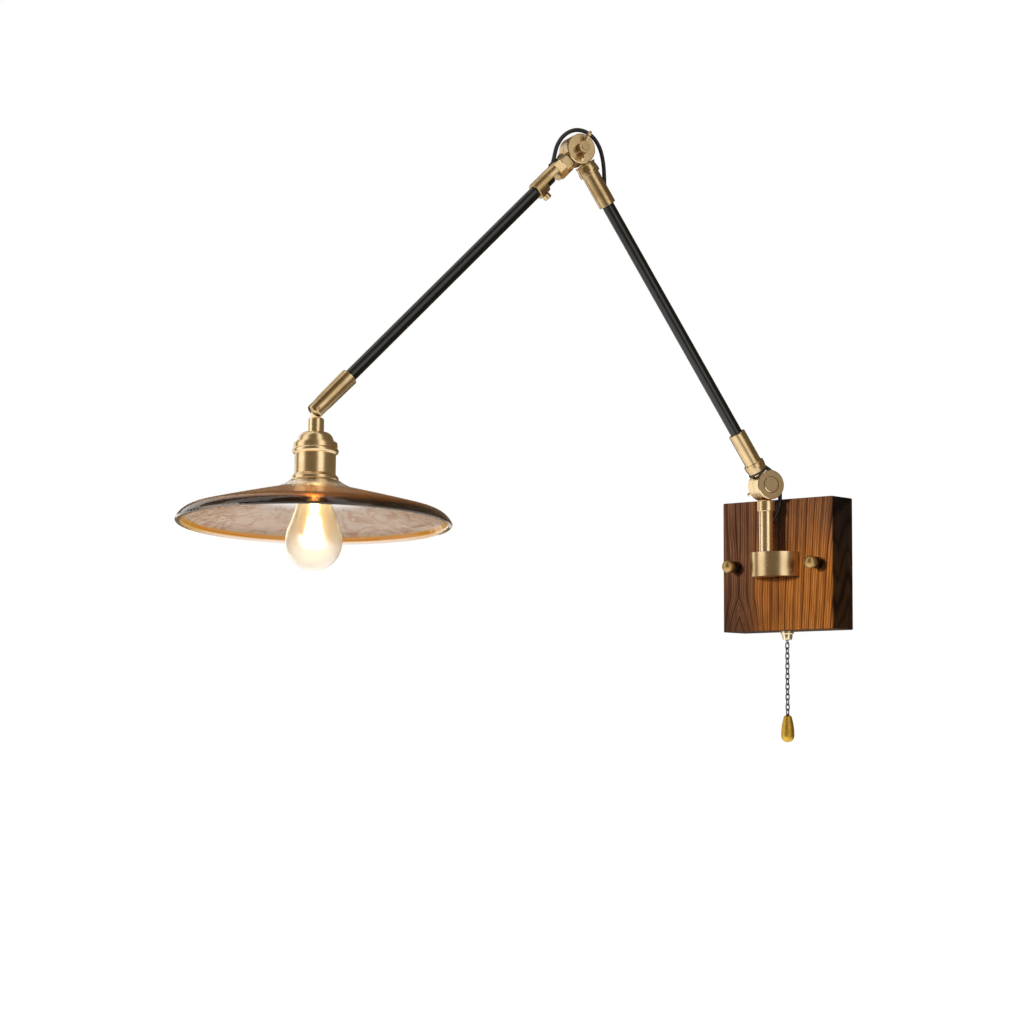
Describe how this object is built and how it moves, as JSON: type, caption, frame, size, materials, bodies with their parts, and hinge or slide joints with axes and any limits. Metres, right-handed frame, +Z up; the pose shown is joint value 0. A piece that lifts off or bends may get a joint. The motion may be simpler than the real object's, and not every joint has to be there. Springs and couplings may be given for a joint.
{
  "type": "swing arm wall lamp",
  "caption": "Wall lamp with a wood block, a swinging brass post, black tube arms on wing nut knuckles, a tilting amber glass shade and a pull chain switch.",
  "frame": {"origin": "middle of the wood block's back, on the wall, midway between the bracket's screw slots", "axes": "+Z up, +Y into the wall, -Y out into the room, +X to the right seen from the room"},
  "size_m": [0.4031, 0.5995, 0.5911],
  "materials": {
    "stained_wood": "satin stained, vertical grain",
    "antique_brass": "brushed antique brass",
    "bright_brass": "polished brass",
    "steel": "zinc plated",
    "dark_bronze": "dark bronze",
    "black_tube": "gloss black",
    "cord_jacket": "satin black",
    "seal_rubber": "matt black",
    "white_plastic": "moulded",
    "black_plastic": "moulded",
    "white_ceramic": "glazed",
    "bulb_cap_metal": "plain",
    "clear_glass": "clear, lit",
    "filament": "glowing",
    "amber_glass": "wavy hand-made amber",
    "chain_steel": "aged nickel"
  },
  "bodies": {
    "wall_base": {"wood_block": "stained_wood", "wall_bracket": "steel", "bracket_studs": "steel", "ball_nut_spacers": "dark_bronze", "ball_nuts": "antique_brass", "terminal_block": "white_plastic", "swivel_drum": "antique_brass", "drum_screws": "steel", "pull_switch": "black_plastic", "switch_bell": "bright_brass", "feed_cord": "cord_jacket"},
    "swing_post": {"swivel_spigot": "steel", "retaining_ring": "steel", "swivel_washer": "steel", "post_tube": "antique_brass", "post_knuckle": "antique_brass", "shoulder_cord_loop": "cord_jacket"},
    "lower_arm": {"shoulder_knuckle": "antique_brass", "shoulder_seal": "seal_rubber", "shoulder_collar": "antique_brass", "shoulder_sleeve": "antique_brass", "shoulder_bolt": "antique_brass", "shoulder_friction_washer": "seal_rubber", "lower_arm_tube": "black_tube", "elbow_collar": "antique_brass", "elbow_sleeve": "antique_brass", "elbow_knuckle": "antique_brass", "elbow_seal": "seal_rubber", "collar_grub_screws": "steel", "lower_arm_cord": "cord_jacket", "elbow_cord_loop": "cord_jacket"},
    "shoulder_nut": {"shoulder_wing_nut": "antique_brass"},
    "upper_arm": {"upper_arm_knuckle": "antique_brass", "elbow_bolt": "antique_brass", "elbow_friction_washer": "seal_rubber", "upper_arm_lock_nuts": "antique_brass", "upper_arm_sleeve": "antique_brass", "sleeve_clamp_screw": "antique_brass", "upper_arm_tube": "black_tube", "wrist_fork": "antique_brass", "wrist_pin": "steel", "upper_arm_cord": "cord_jacket"},
    "elbow_nut": {"elbow_wing_nut": "antique_brass"},
    "lamp_head": {"head_stem": "antique_brass", "socket_cap": "antique_brass", "socket_shell": "antique_brass", "shade_ring": "antique_brass", "lamp_holder": "white_ceramic", "screw_shell": "bright_brass", "centre_contact": "bright_brass", "bulb_base": "bulb_cap_metal", "bulb_glass": "clear_glass", "bulb_filament": "filament", "glass_shade": "amber_glass"},
    "switch_pull": {"switch_plunger": "steel"},
    "hanging_chain": {"pull_chain": "chain_steel", "chain_pendant": "bright_brass"}
  },
  "joints": [
    {"name": "post_swing", "type": "hinge", "parent": "wall_base", "child": "swing_post", "pos_m": [0, -0.0545, 0], "axis": [0, 0, 1], "range_deg": [-42.5, 97.5]},
    {"name": "shoulder_tilt", "type": "hinge", "parent": "swing_post", "child": "lower_arm", "pos_m": [0, -0.0545, 0.0776], "axis": [-0.887, 0.4617, 0], "range_deg": [-42.2, 32.8], "deforming": ["shoulder_cord_loop"]},
    {"name": "shoulder_nut_turn", "type": "hinge", "parent": "lower_arm", "child": "shoulder_nut", "pos_m": [0, -0.0545, 0.0776], "axis": [0.887, -0.4617, 0], "continuous": true},
    {"name": "elbow_tilt", "type": "hinge", "parent": "lower_arm", "child": "upper_arm", "pos_m": [-0.09392, -0.23493, 0.39323], "axis": [-0.887, 0.4617, 0], "range_deg": [-10, 88], "deforming": ["elbow_cord_loop"]},
    {"name": "elbow_nut_turn", "type": "hinge", "parent": "upper_arm", "child": "elbow_nut", "pos_m": [-0.09392, -0.23493, 0.39323], "axis": [0.887, -0.4617, 0], "continuous": true},
    {"name": "head_tilt", "type": "hinge", "parent": "upper_arm", "child": "lamp_head", "pos_m": [-0.21496, -0.46743, 0.12927], "axis": [-0.8586, 0.5097, -0.0553], "range_deg": [-47.6, 87.4]},
    {"name": "switch_pull", "type": "slide", "parent": "wall_base", "child": "switch_pull", "axis": [0, 0, -1], "range_m": [0, 0.008], "stiffness_N_per_m": 800, "springref_m": -0.004},
    {"name": "chain_swing", "type": "hinge", "parent": "switch_pull", "child": "hanging_chain", "pos_m": [0, -0.0185, -0.0777], "axis": [0, 1, 0], "range_deg": [-25, 25]}
  ]
}
